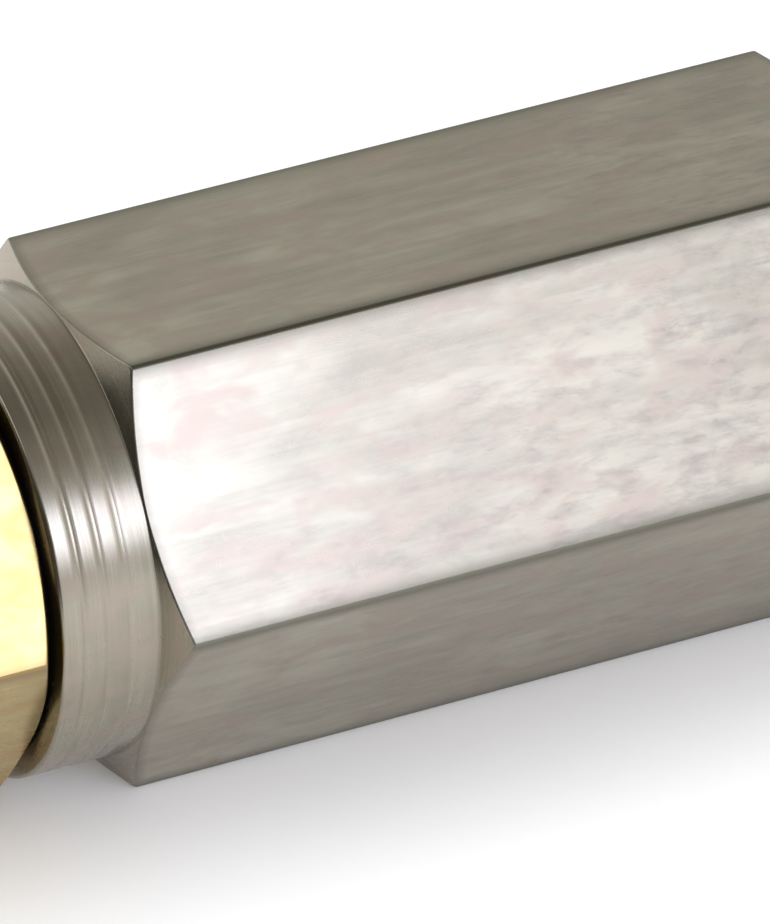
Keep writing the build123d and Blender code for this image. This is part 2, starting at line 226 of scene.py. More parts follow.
def turnedRows(stretch, flatRun):
    # 0 on the run along a hexagon's flats and on its two corners, 1 on everything that is turned
    return np.where(np.abs(stretch - flatRun) <= 0.5, 0.0, 1.0)[:, None]


def addPiece(piece, body, node, material):
    piece.data.materials.append(material)
    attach(piece, body)
    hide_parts(node)
    print("made", piece.name, len(piece.data.polygons), "faces")


coneAngle = 27.0  # of every hexagon's end cone, from the end plane
faceStep = 0.04   # how far a hexagon's end circle stays inside its flats


# shader wiring

class Wire:
    # one socket of a material, so that sums and products of sockets can be written as Python
    def __init__(self, tree, socket=None):
        self.tree = tree
        self.socket = socket

    def node(self, kind, settings={}, inputs={}, out=0):
        made = self.tree.nodes.new(kind)
        for key, value in settings.items():
            if key == "stops":
                made.color_ramp.elements.remove(made.color_ramp.elements[0])
                made.color_ramp.elements[0].position = value[0][0]
                made.color_ramp.elements[0].color = value[0][1]
                for spot, colour in value[1:]:
                    made.color_ramp.elements.new(spot).color = colour
            else:
                setattr(made, key, value)
        for key, value in inputs.items():
            if isinstance(value, Wire):
                self.tree.links.new(value.socket, made.inputs[key])
            else:
                made.inputs[key].default_value = value
        return Wire(self.tree, made.outputs[out])

    def maths(self, operation, *terms):
        return self.node("ShaderNodeMath", {"operation": operation}, dict(enumerate(terms)))

    def __add__(self, other):
        return self.maths("ADD", self, other)

    def __sub__(self, other):
        return self.maths("SUBTRACT", self, other)

    def __rsub__(self, other):
        return self.maths("SUBTRACT", other, self)

    def __mul__(self, other):
        return self.maths("MULTIPLY", self, other)

    __radd__ = __add__
    __rmul__ = __mul__

    def clamp(self, low, high):
        # 0 at low, 1 at high, smooth between
        return self.node("ShaderNodeMapRange", {"interpolation_type": "SMOOTHSTEP"},
                         {"Value": self, "From Min": low, "From Max": high})

    def stretched(self, x, y, z):
        return self.node("ShaderNodeVectorMath", {"operation": "MULTIPLY"}, {0: self, 1: (x, y, z)})

    def dot(self, along):
        return self.node("ShaderNodeVectorMath", {"operation": "DOT_PRODUCT"}, {0: self, 1: along}, out=1)

    def noise(self, detail, rough, warp=0.0):
        return self.node("ShaderNodeTexNoise", {}, {"Vector": self, "Scale": 1.0, "Detail": detail,
                                                    "Roughness": rough, "Distortion": warp})

    def colours(self, first, last):
        # colour mix, first where self is 0 and last where it is 1
        return self.node("ShaderNodeMix", {"data_type": "RGBA"}, {6: first, 7: last, 0: self}, out=2)

    def mixed(self, other, share):
        # colour mix, from self at 0 to other at 1
        return self.node("ShaderNodeMix", {"data_type": "RGBA"}, {6: self, 7: other, 0: share}, out=2)


def startMaterial(name, **constant):
    # the material, its shader, and a point in millimetres from the gas axis
    material = bpy.data.materials.new(name)
    material.use_nodes = True
    shader = material.node_tree.nodes["Principled BSDF"]
    for key, value in constant.items():
        shader.inputs[key.replace("_", " ")].default_value = value
    coordinates = Wire(material.node_tree).node("ShaderNodeTexCoord", out=3)
    point = coordinates.node("ShaderNodeMapping", {}, {"Vector": coordinates, "Location": (0, 0, -axisHeight),
                                                 "Scale": (1 / mm, 1 / mm, 1 / mm)})
    return material, shader, point


def feed(shader, colour, roughness=None, height=None, depth=0.0):
    # links what changes over the surface. Height is in shares of the depth, which is in millimetres
    tree = shader.id_data
    tree.links.new(colour.socket, shader.inputs["Base Color"])
    if roughness:
        tree.links.new(roughness.socket, shader.inputs["Roughness"])
    if height:
        bump = height.node("ShaderNodeBump", {}, {"Height": height, "Distance": depth * mm})
        tree.links.new(bump.socket, shader.inputs["Normal"])


def mark(point, label):
    return point.node("ShaderNodeAttribute", {"attribute_name": label}, out=2)


def roundCoordinates(point):
    # a point's place along the axis, its distance from the axis, and a slow change round it
    parts = point.node("ShaderNodeSeparateXYZ", {}, {0: point}, out=0)
    across = point.stretched(0, 1, 1)
    radius = point.node("ShaderNodeVectorMath", {"operation": "LENGTH"}, {0: across}, out=1)
    around = point.node("ShaderNodeVectorMath", {"operation": "NORMALIZE"}, {0: across})
    return parts, radius, around


def turnedPoint(point, around=0.6):
    # coordinates in which a pattern becomes rings: (x, distance from the axis) with a slow drift round it
    x, radius, direction = roundCoordinates(point)
    slow = point.node("ShaderNodeVectorMath", {"operation": "SCALE"}, {0: direction, 3: around})
    rings = point.node("ShaderNodeCombineXYZ", {}, {0: x * 14, 1: radius * 14, 2: 0.0})
    return point.node("ShaderNodeVectorMath", {"operation": "ADD"}, {0: rings, 1: slow})


# materials

# the darkest steel and brass colours are painted shade on the long hexagon edges and the cone creases; the
# scuff colour also carries painted shade, heavier towards the outlet end and the bottom
drawnLook = {
    "steel": {"light": (0.46, 0.435, 0.355, 1), "dark": (0.295, 0.278, 0.222, 1),
              "stain": (0.375, 0.315, 0.262, 1), "scuffAndShade": (0.285, 0.258, 0.235, 1),
              "wearAndEdgeShade": (0.15, 0.145, 0.115, 1), "roughness": 0.25, "depth": 0.006},
    "brass": {"light": (0.56, 0.45, 0.19, 1), "dark": (0.45, 0.335, 0.125, 1),
              "stain": (0.47, 0.29, 0.085, 1), "scuffAndShade": (0.36, 0.23, 0.10, 1),
              "wearAndEdgeShade": (0.26, 0.18, 0.07, 1), "roughness": 0.24, "depth": 0.005},
}


def drawnMetal(name, look, scuffedAndShaded, film=0.0):
    # bar metal: cloudy stains and streaks along the bar on the flats, turning rings where turned is 1
    material, shader, point = startMaterial(name, Metallic=1.0, Coat_Weight=film, Coat_Roughness=0.22)
    turned, edge = mark(point, "turned"), mark(point, "edge")
    streak = point.stretched(0.10, 2.2, 2.2).noise(4.0, 0.6, 0.2)
    hair = point.stretched(0.4, 11.0, 11.0).noise(3.0, 0.6)
    cloud = point.stretched(0.13, 0.34, 0.34).noise(4.0, 0.6, 0.4)
    blotch = point.stretched(0.42, 0.9, 0.9).noise(3.0, 0.55, 0.6)
    rings = turnedPoint(point).noise(3.0, 0.7)
    wideRings = turnedPoint(point, 1.5).stretched(0.16, 0.16, 1.0).noise(2.0, 0.5)
    # scuffs: short worn patches and fine crossed scratches, fewest on top at the inlet end. Their slope is
    # painted shade: the flats turn darker towards the outlet end and downwards, where the light falls off
    placed = point.dot((1.0, 0.0, -1.5))
    paintedShadeSlope = placed.clamp(-26.0, 4.0) * scuffedAndShaded
    patch = point.stretched(0.7, 1.9, 1.9).noise(6.0, 0.72, 0.25).clamp(0.42, 0.74)
    crossed = point.node("ShaderNodeMapping", {}, {"Vector": point, "Rotation": (0.0, 0.35, 0.5),
                                                   "Scale": (0.9, 5.0, 5.0)})
    scratch = crossed.noise(3.0, 0.55, 0.2).clamp(0.55, 0.75)
    scuffAndShade = (patch * 0.8 + scratch * patch * 0.4 + 0.2) * paintedShadeSlope * (1 - turned * 0.7)
    flatTone = (streak * 0.45 + cloud * 0.95 + hair * 0.1).clamp(0.5, 1.0)
    ringTone = (rings * 0.4 + wideRings * 0.4 + cloud * 0.5).clamp(0.45, 1.05)
    tone = flatTone * (1 - turned) + ringTone * turned
    colour = tone.colours(look["dark"], look["light"])
    colour = colour.mixed(look["stain"], blotch.clamp(0.40, 0.68) * 0.85)
    # the scuff colour is real scuffing in patches and painted shade in its slope towards the outlet end and
    # the bottom
    colour = colour.mixed(look["scuffAndShade"], scuffAndShade * 0.6)
    # painted shade: the long hexagon edges and the cone creases are darkened, for the dark reflections and
    # shadow along them
    colour = colour.mixed(look["wearAndEdgeShade"], edge * 0.9)
    roughness = tone * 0.05 + look["roughness"] + scuffAndShade * 0.1
    flatHeight = streak * 0.7 + hair * 0.3 - scuffAndShade * 0.7
    height = flatHeight * (1 - turned) + (rings * 0.35 + wideRings * 0.3) * turned
    feed(shader, colour, roughness, height, look["depth"])
    return material


turnedLook = {
    "turned brass": {"light": (0.66, 0.53, 0.28, 1), "dark": (0.54, 0.39, 0.17, 1), "roughness": 0.24},
    "turned steel": {"light": (0.42, 0.40, 0.37, 1), "dark": (0.31, 0.29, 0.265, 1), "roughness": 0.26},
    "spring steel": {"light": (0.40, 0.39, 0.38, 1), "dark": (0.22, 0.215, 0.21, 1), "roughness": 0.30},
}


def turnedMetal(name, look):
    # lathe rings, a cloudy tarnish and a few dull specks
    material, shader, point = startMaterial(name, Metallic=1.0)
    rings = turnedPoint(point).noise(3.0, 0.7)
    cloud = point.stretched(0.5, 0.9, 0.9).noise(4.0, 0.6, 0.4)
    speck = point.stretched(3.0, 3.0, 3.0).noise(2.0, 0.5).clamp(0.64, 0.74)
    tone = (rings * 0.45 + cloud * 0.6).clamp(0.38, 0.75)
    colour = tone.colours(look["dark"], look["light"])
    colour = colour.mixed(look["dark"], speck)
    feed(shader, colour, tone * 0.06 + look["roughness"] + speck * 0.12, rings - speck * 0.4, 0.004)
    return material


rubberLook = {"colour": (0.016, 0.016, 0.017, 1), "dust": (0.05, 0.048, 0.045, 1), "roughness": 0.5}


def mouldedRubber(values):
    # black rubber: fine mould grain, and a pale bloom in patches
    material, shader, point = startMaterial("rubber", Specular_IOR_Level=0.35)
    grain = point.stretched(9.0, 9.0, 9.0).noise(3.0, 0.6)
    bloom = point.stretched(0.8, 0.8, 0.8).noise(4.0, 0.6, 0.5).clamp(0.45, 0.75)
    colour = bloom.colours(values["colour"], values["dust"])
    feed(shader, colour, grain * 0.15 + values["roughness"] + bloom * 0.12, grain, 0.012)
    return material


siliconeLook = {"clear": (0.64, 0.63, 0.60, 1), "cloudy": (0.55, 0.53, 0.49, 1), "dust": (0.42, 0.40, 0.37, 1),
                "roughness": 0.34, "soft": 0.35}


def softSilicone(values):
    # milky silicone: light passes a little way in, with cloudy patches and dust in fine pits
    material, shader, point = startMaterial("silicone", Subsurface_Weight=values["soft"],
                                            Subsurface_Scale=0.001)
    cloud = point.stretched(0.7, 0.7, 0.7).noise(3.0, 0.6, 0.3).clamp(0.35, 0.7)
    pits = point.stretched(7.0, 7.0, 7.0).noise(2.0, 0.5).clamp(0.6, 0.72)
    colour = cloud.colours(values["clear"], values["cloudy"])
    colour = colour.mixed(values["dust"], pits * 0.4)
    feed(shader, colour, cloud * 0.1 + values["roughness"] + pits * 0.2, 1 - pits, 0.01)
    return material


ceramicLook = {"grain": (0.74, 0.725, 0.68, 1), "between": (0.50, 0.475, 0.42, 1),
               "stain": (0.60, 0.59, 0.50, 1), "grainSize": 0.21}


def porousCeramic(values):
    # fired grains with dark pores between them, and a faint stain from the water
    material, shader, point = startMaterial("ceramic", Specular_IOR_Level=0.25)
    cells = point.node("ShaderNodeTexVoronoi", {"feature": "F1"},
                       {"Vector": point, "Scale": 1 / values["grainSize"], "Randomness": 1.0})
    fine = point.stretched(8.0, 8.0, 8.0).noise(4.0, 0.65)
    stain = point.stretched(0.3, 0.35, 0.35).noise(4.0, 0.6, 0.5).clamp(0.42, 0.72)
    pore = (cells + fine * 0.45).clamp(0.35, 1.1)
    colour = pore.colours(values["grain"], values["between"])
    colour = colour.mixed(values["stain"], stain * 0.45)
    feed(shader, colour, pore * 0.08 + 0.86, fine * 0.4 - pore, 0.03)
    return material


bronzeLook = {"ball": (0.60, 0.40, 0.22, 1), "gap": (0.16, 0.09, 0.045, 1), "tarnish": (0.42, 0.30, 0.16, 1),
              "ballSize": 0.22}


def sinteredBronze(values):
    # fused bronze balls with dark gaps
    material, shader, point = startMaterial("sintered bronze", Metallic=1.0)
    ball = point.node("ShaderNodeTexVoronoi", {"feature": "F1"},
                      {"Vector": point, "Scale": 1 / values["ballSize"], "Randomness": 0.8})
    gap = ball.clamp(0.35, 0.75)
    tarnish = point.stretched(0.6, 0.6, 0.6).noise(3.0, 0.6)
    colour = gap.colours(values["ball"], values["gap"])
    colour = colour.mixed(values["tarnish"], tarnish.clamp(0.45, 0.75) * 0.5)
    feed(shader, colour, gap * 0.3 + 0.32, 1 - gap, 0.06)
    return material


plasticLook = {"colour": (0.80, 0.785, 0.74, 1), "wearAndEdgeShade": (0.66, 0.64, 0.58, 1), "roughness": 0.36}


def mouldedPlastic(values):
    # natural acetal: waxy, with a fine mould grain and duller worn patches
    material, shader, point = startMaterial("acetal", Subsurface_Weight=0.15, Subsurface_Scale=0.0008)
    grain = point.stretched(6.0, 6.0, 6.0).noise(3.0, 0.6)
    wear = point.stretched(0.9, 0.9, 0.9).noise(3.0, 0.6, 0.3).clamp(0.45, 0.72)
    colour = wear.colours(values["colour"], values["wearAndEdgeShade"])
    feed(shader, colour, grain * 0.1 + values["roughness"] + wear * 0.1, grain, 0.006)
    return material


fibreLook = {"red": (0.20, 0.035, 0.022, 1), "dark": (0.095, 0.018, 0.012, 1), "fleck": (0.32, 0.10, 0.06, 1)}


def pressedFibre(values):
    # red fibre board: matted threads in every direction
    material, shader, point = startMaterial("fibre", Specular_IOR_Level=0.3)
    mat = point.stretched(2.2, 2.2, 2.2).noise(5.0, 0.7, 2.5)
    fleck = point.stretched(5.0, 5.0, 5.0).noise(2.0, 0.5, 3.0).clamp(0.6, 0.72)
    colour = mat.clamp(0.35, 0.65).colours(values["dark"], values["red"])
    colour = colour.mixed(values["fleck"], fleck * 0.6)
    feed(shader, colour, mat * 0.2 + 0.58, mat, 0.025)
    return material


steel = drawnMetal("drawn steel", drawnLook["steel"], 1.0)
brass = drawnMetal("drawn brass", drawnLook["brass"], 0.5, 0.6)
lathe = {name: turnedMetal(name, look) for name, look in turnedLook.items()}
rubber = mouldedRubber(rubberLook)
silicone = softSilicone(siliconeLook)
ceramic = porousCeramic(ceramicLook)
bronze = sinteredBronze(bronzeLook)
plastic = mouldedPlastic(plasticLook)
fibre = pressedFibre(fibreLook)
print("materials made")


# the steel body

bodyParts = {
    "neckLength": 3.05, "neckRelief": 0.06, "edgeRound": 0.2, "rimEdge": 0.08,
    "grooveFirst": 0.72, "groovePitch": 0.72, "grooveWidth": 0.3, "grooveDepths": (0.06, 0.045, 0.035),
    "recess": (0.68, 6.045), "port": (7.875, 4.895), "pocket": (10.675, 4.35), "seat": (12.275, 1.6),
    "chamber": 3.7,
}


def neckOutline(face, inward, radius, values):
    # the turned neck from its end face to the start of the cone, with its shallow grooves
    corners = [(face, radius - values["rimEdge"], 0.05), (face + inward * values["rimEdge"], radius, 0.08)]
    for number, depth in enumerate(values["grooveDepths"]):
        middle = face + inward * (values["grooveFirst"] + number * values["groovePitch"])
        half = values["grooveWidth"] / 2
        corners += [(middle - inward * half, radius, 0.1), (middle, radius - depth, 0.12),
                    (middle + inward * half, radius, 0.1)]
    return corners


def makeBody(values):
    left, right = bodyLow[0], bodyHigh[0]
    angle = hexagonAngles(values["edgeRound"], hexAcross)
    radius = hexagonRadius(angle, hexAcross, values["edgeRound"])
    neck = hexAcross / 2 - values["neckRelief"]
    cone = endCone(radius, neck)
    leftEnd, rightEnd = left + values["neckLength"], right - values["neckLength"]
    corners = neckOutline(left, 1, neck, values) + [(leftEnd, neck, 0.05), (leftEnd + cone, radius, 0.06)]
    flatRun = len(corners) - 1
    corners += [(rightEnd - cone, radius, 0.06), (rightEnd, neck, 0.05)]
    corners += neckOutline(right, -1, neck, values)[::-1]
    recess, recessRadius = values["recess"]
    port, portRadius = values["port"]
    pocket, pocketRadius = values["pocket"]
    seat, seatRadius = values["seat"]
    corners += [(right, recessRadius, 0.05), (right - recess, recessRadius, 0.03),
                (right - recess, portRadius, 0.03), (right - port, portRadius),
                (right - port, values["chamber"]), (left + seat, values["chamber"]),
                (left + seat, seatRadius), (left + pocket, seatRadius), (left + pocket, pocketRadius),
                (left + port, pocketRadius), (left + port, portRadius), (left + recess, portRadius, 0.03),
                (left + recess, recessRadius, 0.03), (left, recessRadius, 0.05)]
    x, r, stretch = outlineRows(corners, len(angle), step=1.0)
    turned = turnedRows(stretch, flatRun)
    # painted shade: the rows at the four corners of the end cones are darkened, for the shadow in the creases
    # where a cone meets the neck and the flats
    coneCorners = flatRun + np.array([-1.5, -0.5, 0.5, 1.5])
    coneCreaseShade = np.where(np.isin(stretch, coneCorners), 0.5, 0.0)[:, None]
    wearAndEdgeShade = np.maximum(edgeShadeMark(angle) * (1 - turned), coneCreaseShade)
    piece = wrapSurface("steelBody", x, r, angle, {"turned": turned, "edge": wearAndEdgeShade})
    addPiece(piece, "main", "valve_body", steel)


makeBody(bodyParts)


# brass fittings

portThread = {"radius": 4.865, "depth": 0.45, "pitch": 0.907, "relief": 1.0}

inletParts = {
    "hexLength": 5.5, "threadLength": 7.0, "edgeRound": 0.2, "mouth": (0.85, 3.95), "socket": (9.5, 3.1),
    "bore": 1.75,
    "thread": {"radius": 5.0, "depth": 0.45, "pitch": 1.0, "relief": 0.5},
}


def makeInlet(values):
    low, high = place("inlet_fitting")
    across = high[2] - low[2]
    angle = hexagonAngles(values["edgeRound"], across)
    hexagon = hexagonRadius(angle, across, values["edgeRound"])
    face = across / 2 - faceStep
    mouth, tip = low[0], high[0]
    socketDepth, socket = values["socket"]
    mouthDepth, mouthRadius = values["mouth"]
    hexLeft = mouth + values["threadLength"]
    hexRight = hexLeft + values["hexLength"]
    tube, port = values["thread"], portThread
    tubeStart, tubeEnd = mouth + tube["depth"], hexLeft - tube["relief"]
    portStart, portEnd = hexRight + port["relief"], tip - port["depth"]
    corners = [
        (mouth, tube["radius"] - tube["depth"], 0.04), (tubeStart, tube["radius"]), (tubeEnd, tube["radius"]),
        (tubeEnd, tube["radius"] - tube["depth"], 0.1), (hexLeft, tube["radius"] - tube["depth"], 0.1),
        (hexLeft, face, 0.03), (hexLeft + endCone(hexagon, face), hexagon, 0.05),
        (hexRight - endCone(hexagon, face), hexagon, 0.05), (hexRight, face, 0.03),
        (hexRight, port["radius"] - port["depth"]), (portStart, port["radius"] - port["depth"], 0.1),
        (portStart, port["radius"]), (portEnd, port["radius"]), (tip, port["radius"] - port["depth"]),
        (tip, values["bore"]), (mouth + socketDepth, values["bore"]), (mouth + socketDepth, socket),
        (mouth + mouthDepth, socket), (mouth, mouthRadius, 0.04)]
    x, r, stretch = outlineRows(corners, len(angle), step=0.9, fine={1: 0.07, 11: 0.07})
    r = threaded(x, r, angle, stretch, 1, tube["pitch"], tube["depth"], tubeStart, tubeEnd)
    r = threaded(x, r, angle, stretch, 11, port["pitch"], port["depth"], portStart, portEnd)
    turned = turnedRows(stretch, 6)
    # painted shade darkens the long hexagon edges
    wearAndEdgeShade = edgeShadeMark(angle) * (1 - turned)
    piece = wrapSurface("inletFitting", x, r, angle, {"turned": turned, "edge": wearAndEdgeShade})
    addPiece(piece, "main", "inlet_fitting", brass)


makeInlet(inletParts)

nutParts = {
    "across": 12.0, "turn": 8.0, "edgeRound": 0.2, "hexLength": 8.2, "collar": 4.8, "hole": 3.25, "rim": 0.2,
    "guide": 4.15, "guideEnd": 7.39, "coneEnd": 8.29,
    "thread": {"radius": 5.06, "length": 6.695, "depth": 0.4, "pitch": 1.0},
}


def makeNut(values):
    low, high = place("compression_nut")
    angle = hexagonAngles(values["edgeRound"], values["across"]) + radians(values["turn"])
    hexagon = hexagonRadius(angle, values["across"], values["edgeRound"], values["turn"])
    face = values["across"] / 2 - faceStep
    left, right = low[0], high[0]
    hexLeft = right - values["hexLength"]
    thread = values["thread"]
    rim, collar, guide, hole = (values[key] for key in ("rim", "collar", "guide", "hole"))
    threadLeft, threadRight = right - thread["length"], right - rim
    corners = [
        (left, collar - rim, 0.04), (left + 2 * rim, collar, 0.1), (hexLeft, collar, 0.1),
        (hexLeft, face, 0.03), (hexLeft + endCone(hexagon, face), hexagon, 0.05),
        (right - endCone(hexagon, face), hexagon, 0.05), (right, face, 0.03),
        (right, thread["radius"] + rim, 0.04), (threadRight, thread["radius"], 0.04),
        (threadLeft, thread["radius"]), (threadLeft, guide), (right - values["guideEnd"], guide),
        (right - values["coneEnd"], hole), (left + rim, hole, 0.04), (left, hole + rim, 0.04)]
    x, r, stretch = outlineRows(corners, len(angle), step=0.9, fine={8: 0.07})
    r = threaded(x, r, angle, stretch, 8, thread["pitch"], -thread["depth"], threadLeft, threadRight)
    turned = turnedRows(stretch, 4)
    # painted shade darkens the long hexagon edges
    wearAndEdgeShade = edgeShadeMark(angle, values["turn"]) * (1 - turned)
    piece = wrapSurface("compressionNut", x, r, angle, {"turned": turned, "edge": wearAndEdgeShade})
    addPiece(piece, "nut", "compression_nut", brass)


makeNut(nutParts)

outletParts = {
    "across": 12.7, "turn": 12.0, "edgeRound": 0.2, "hexLength": 5.5, "foot": (0.4, 5.9), "rim": 0.2,
    "collar": (1.8, 6.3), "spigot": 3.88, "rodHole": (7.5, 2.53), "bore": 1.75,
}


def makeOutlet(values):
    low, high = place("outlet_fitting")
    angle = hexagonAngles(values["edgeRound"], values["across"]) + radians(values["turn"])
    hexagon = hexagonRadius(angle, values["across"], values["edgeRound"], values["turn"])
    face = values["across"] / 2 - faceStep
    tip, end = low[0], high[0]
    hexLeft = place("outlet_gasket")[1][0]
    hexRight = hexLeft + values["hexLength"]
    footLength, foot = values["foot"]
    collarLength, collar = values["collar"]
    rodDepth, rodHole = values["rodHole"]
    rim, spigot, bore, port = values["rim"], values["spigot"], values["bore"], portThread
    collarLeft = hexRight + footLength
    collarRight = collarLeft + collarLength
    portStart, portEnd = tip + port["depth"], hexLeft - port["relief"]
    corners = [
        (tip, port["radius"] - port["depth"]), (portStart, port["radius"]), (portEnd, port["radius"]),
        (portEnd, port["radius"] - port["depth"], 0.1), (hexLeft, port["radius"] - port["depth"], 0.1),
        (hexLeft, face, 0.03), (hexLeft + endCone(hexagon, face), hexagon, 0.05),
        (hexRight - endCone(hexagon, face), hexagon, 0.05), (hexRight, face, 0.03), (hexRight, foot, 0.08),
        (collarLeft, foot, 0.08), (collarLeft, collar - rim, 0.04), (collarLeft + rim, collar, 0.04),
        (collarRight - rim, collar, 0.04), (collarRight, collar - rim, 0.04), (collarRight, spigot),
        (end - rim, spigot, 0.04), (end, spigot - rim, 0.04), (end, rodHole), (end - rodDepth, rodHole),
        (end - rodDepth, bore), (tip, bore)]
    x, r, stretch = outlineRows(corners, len(angle), step=0.9, fine={1: 0.07})
    r = threaded(x, r, angle, stretch, 1, port["pitch"], port["depth"], portStart, portEnd)
    turned = turnedRows(stretch, 6)
    # painted shade darkens the long hexagon edges
    wearAndEdgeShade = edgeShadeMark(angle, values["turn"]) * (1 - turned)
    piece = wrapSurface("outletFitting", x, r, angle, {"turned": turned, "edge": wearAndEdgeShade})
    addPiece(piece, "main", "outlet_fitting", brass)


makeOutlet(outletParts)

domeParts = {"across": 8.0, "turn": 12.0, "edgeRound": 0.2, "hexLength": 4.2, "hole": (6.3, 2.53), "arcs": 9}


def makeDomeNut(values):
    low, high = place("dome_nut")
    angle = hexagonAngles(values["edgeRound"], values["across"], 30) + radians(values["turn"])
    hexagon = hexagonRadius(angle, values["across"], values["edgeRound"], values["turn"])
    face = values["across"] / 2 - faceStep
    left, hexRight = low[0], low[0] + values["hexLength"]
    dome = high[0] - hexRight
    depth, hole = values["hole"]
    corners = [(left + depth, 0), (left + depth, hole, 0.3), (left, hole, 0.04), (left, face, 0.03),
               (left + endCone(hexagon, face), hexagon, 0.05),
               (hexRight - endCone(hexagon, face), hexagon, 0.05), (hexRight, face, 0.03)]
    sweep = np.linspace(0, pi / 2, values["arcs"])
    corners += [(hexRight + dome * sin(s), dome * cos(s), 0.25) for s in sweep[:-1]] + [(high[0], 0)]
    x, r, stretch = outlineRows(corners, len(angle), step=0.5, loop=False)
    turned = turnedRows(stretch, 4)
    # painted shade darkens the long hexagon edges
    wearAndEdgeShade = edgeShadeMark(angle, values["turn"]) * (1 - turned)
    piece = wrapSurface("domeNut", x, r, angle, {"turned": turned, "edge": wearAndEdgeShade}, loop=False)
    addPiece(piece, "main", "dome_nut", brass)


makeDomeNut(domeParts)


# end cap, gaskets and washers

capParts = {"thickness": 3.0, "spigot": 3.88, "hole": 2.55, "round": 0.9, "edge": 0.2, "holeEdge": 0.15}


def makeEndCap(values):
    low, high = place("end_cap")
    outer = (high[2] - low[2]) / 2
    left = high[0] - values["thickness"]
    end, edge, holeEdge = low[0], values["edge"], values["holeEdge"]
    angle = roundAngles(240)
    corners = [(end, values["spigot"] - edge, 0.04), (end + edge, values["spigot"], 0.04),
               (left, values["spigot"], 0.05), (left, outer, 0.06), (high[0], outer, values["round"]),
               (high[0], values["hole"] + holeEdge, 0.04), (high[0] - holeEdge, values["hole"], 0.04),
               (end, values["hole"], 0.05)]
    x, r, _ = outlineRows(corners, len(angle), step=0.4, cornerRows=7)
    piece = wrapSurface("endCap", x, r, angle, {"turned": np.ones((len(x), 1)), "edge": np.zeros((1, 1))})
    addPiece(piece, "main", "end_cap", steel)


makeEndCap(capParts)

ringParts = {
    "inlet_gasket": ("inletGasket", 4.915, 0.12, 0.012, "black_rubber", rubber),
    "outlet_gasket": ("outletGasket", 4.915, 0.12, 0.012, "black_rubber", rubber),
    "inner_washer": ("innerWasher", 3.93, 0.3, 0.02, "silicone", silicone),
    "outer_washer": ("outerWasher", 3.93, 0.3, 0.02, "silicone", silicone),
    "seal_washer": ("sealWasher", 2.55, 0.08, 0.015, "fibre", fibre),
}


def makeRing(node, name, inner, softness, uneven, slot, material, seed):
    # a flat ring with soft rims, whose outside is a little uneven, as a cut or squeezed ring is
    low, high = place(node)
    outer = (high[2] - low[2]) / 2
    angle = roundAngles(200)
    corners = [(low[0], inner, softness), (low[0], outer, softness),
               (high[0], outer, softness), (high[0], inner, softness)]
    x, r, _ = outlineRows(corners, len(angle), step=0.15, cornerRows=6)
    wave = latticeNoise(x * 3, np.broadcast_to(angle / (2 * pi) * 24, x.shape), seed, 24)
    r = np.where(r > (inner + outer) / 2, r - uneven * (1 + wave) / 2, r + uneven * (1 + wave) / 4)
    piece = wrapSurface(name, x, r, angle, {})
    addPiece(piece, "main", node, material)


for seed, (node, ring) in enumerate(ringParts.items()):
    makeRing(node, *ring, seed + 3)


# the ceramic tube

ceramicParts = {"bore": 4.0, "edge": 0.2, "coarse": (1.6, 0.02), "fine": (0.45, 0.022), "ripple": (5.0, 0.015)}


def makeCeramic(values):
    low, high = place("ceramic_tube")
    outer = (high[2] - low[2]) / 2
    angle = roundAngles(300)
    left, right, edge, bore = low[0], high[0], values["edge"], values["bore"]
    corners = [(left, bore, 0.08), (left, outer - edge, 0.08), (left + edge, outer, 0.08),
               (right - edge, outer, 0.08), (right, outer - edge, 0.08), (right, bore, 0.08)]
    x, r, _ = outlineRows(corners, len(angle), step=0.14, fine={5: 0.5})
    # three sizes of random bumps, all pressed inwards from the nominal surface
    rough = 0
    for seed, (size, height) in enumerate((values["coarse"], values["fine"], values["ripple"])):
        wrap = int(2 * pi * outer / size)
        around = np.broadcast_to(angle / (2 * pi) * wrap, x.shape)
        rough = rough + height * (1 + latticeNoise(x / size + 40, around, seed, wrap)) / 2
    r = np.where(r > bore + 0.05, r - rough, r + rough * 0.5)
    piece = wrapSurface("ceramicTube", x, r, angle, {})
    addPiece(piece, "main", "ceramic_tube", ceramic)


makeCeramic(ceramicParts)


# the valve spring

springParts = {"wire": 0.2, "turns": 5.0, "closed": 0.75, "lift": 1.2}


def makeSpring(values):
    # round wire along a helix. Its last part turn at each end lies nearly flat.
    low, high = place("valve_spring")
    wire = values["wire"]
    helix = (high[2] - low[2]) / 2 - wire
    steps, columns = 480, 16
    share = np.linspace(0, 1, steps)
    end = values["closed"] / values["turns"]
    rise = np.clip((share - end * 0.8) / (1 - 1.6 * end), 0, 1)
    x = low[0] + wire + (high[0] - low[0] - 2 * wire) * (0.75 * smoothStep(rise) + 0.25 * rise)
    sweep = 2 * pi * values["turns"] * share
    middle = np.stack([x, helix * np.cos(sweep), axisHeight + helix * np.sin(sweep)], axis=-1)
    along = np.gradient(middle, axis=0)
    along /= np.linalg.norm(along, axis=1, keepdims=True)
    out = np.stack([0 * sweep, np.cos(sweep), np.sin(sweep)], axis=-1)
    side = np.cross(along, out)
    thick = wire * np.sqrt(np.clip(1 - (2 * np.abs(share - 0.5)) ** 400, 0, 1))[:, None, None]
    angle = roundAngles(columns)[None, :, None]
    grid = middle[:, None] + thick * (np.cos(angle) * out[:, None] + np.sin(angle) * side[:, None])
    piece = gridPiece("valveSpring", grid, {}, loop=False)
    addPiece(piece, "main", "valve_spring", lathe["spring steel"])
    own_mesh(piece)


makeSpring(springParts)


# CAD nodes that keep their own shape

